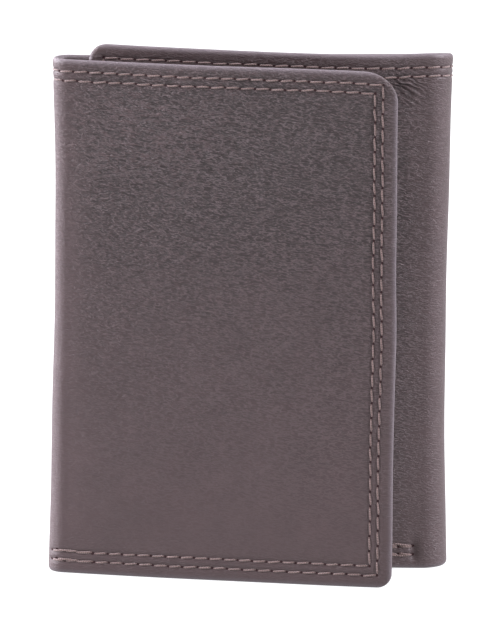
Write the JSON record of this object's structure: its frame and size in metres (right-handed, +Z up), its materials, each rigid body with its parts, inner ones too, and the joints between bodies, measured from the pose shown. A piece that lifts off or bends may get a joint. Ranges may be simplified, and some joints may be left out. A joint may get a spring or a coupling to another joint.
{
  "type": "trifold wallet",
  "caption": "Upright trifold leather wallet: front flap with ID window, rear panel and inner flap with staggered card pockets, full-length bill compartment, double stitched edges.",
  "frame": {"origin": "Middle of the bounding box at its lowest height, on the surface that the wallet stands on.", "axes": "+Z up along the folds, +Y out of the rear panel's outer face, -Y towards the front flap, +X from the front flap's fold to the inner flap's fold."},
  "size_m": [0.0828, 0.0288, 0.111],
  "materials": {
    "outer_leather": "smooth leather with a fine pebble grain",
    "inner_leather": "smooth thin leather",
    "lining_cloth": "plain woven lining",
    "thread": "twisted waxed thread",
    "window_film": "clear flexible film"
  },
  "bodies": {
    "rear_panel": {"rear_shell": "outer_leather", "rear_lining": "lining_cloth", "bill_divider": "lining_cloth", "rear_inner_panel": "inner_leather", "rear_card_pocket_high": "inner_leather", "rear_card_pocket_middle": "inner_leather", "rear_card_pocket_low": "inner_leather", "rear_top_stitching_outer": "thread", "rear_top_stitching_inner": "thread", "rear_bottom_stitching_outer": "thread", "rear_bottom_stitching_inner": "thread"},
    "left_spine": {"left_spine_shell": "outer_leather", "left_spine_lining": "lining_cloth", "left_spine_top_stitching_outer": "thread", "left_spine_top_stitching_inner": "thread"},
    "front_flap": {"front_shell": "outer_leather", "front_lining": "lining_cloth", "front_inner_panel": "inner_leather", "id_window_film": "window_film", "id_window_frame": "inner_leather", "front_stitching_outer": "thread", "front_stitching_inner": "thread"},
    "right_spine": {"right_spine_shell": "outer_leather", "right_spine_lining": "lining_cloth", "right_spine_top_stitching_outer": "thread", "right_spine_top_stitching_inner": "thread"},
    "inner_flap": {"inner_flap_shell": "outer_leather", "inner_flap_lining": "lining_cloth", "inner_flap_panel": "inner_leather", "inner_flap_card_pocket_high": "inner_leather", "inner_flap_card_pocket_middle": "inner_leather", "inner_flap_card_pocket_low": "inner_leather", "inner_flap_stitching_outer": "thread", "inner_flap_stitching_inner": "thread"}
  },
  "joints": [
    {"name": "left_fold_rear_crease", "type": "hinge", "parent": "rear_panel", "child": "left_spine", "pos_m": [-0.03979, 0.01333, 0.054], "axis": [0, 0, -1], "range_deg": [0, 80.5]},
    {"name": "left_fold_front_crease", "type": "hinge", "parent": "left_spine", "child": "front_flap", "pos_m": [-0.04063, 0.00939, 0.054], "axis": [0, 0, -1], "range_deg": [0, 80.5]},
    {"name": "right_fold_rear_crease", "type": "hinge", "parent": "rear_panel", "child": "right_spine", "pos_m": [0.03921, 0.01244, 0.054], "axis": [0, 0, 1], "range_deg": [0, 14.5]},
    {"name": "right_fold_inner_crease", "type": "hinge", "parent": "right_spine", "child": "inner_flap", "pos_m": [0.03951, 0.00446, 0.054], "axis": [0, 0, 1], "range_deg": [0, 14.5]}
  ],
  "couplings": [
    {"joint": "left_fold_front_crease", "follows": "left_fold_rear_crease", "ratio": 1},
    {"joint": "right_fold_rear_crease", "follows": "left_fold_rear_crease", "ratio": 0.18},
    {"joint": "right_fold_inner_crease", "follows": "left_fold_rear_crease", "ratio": 0.18}
  ]
}
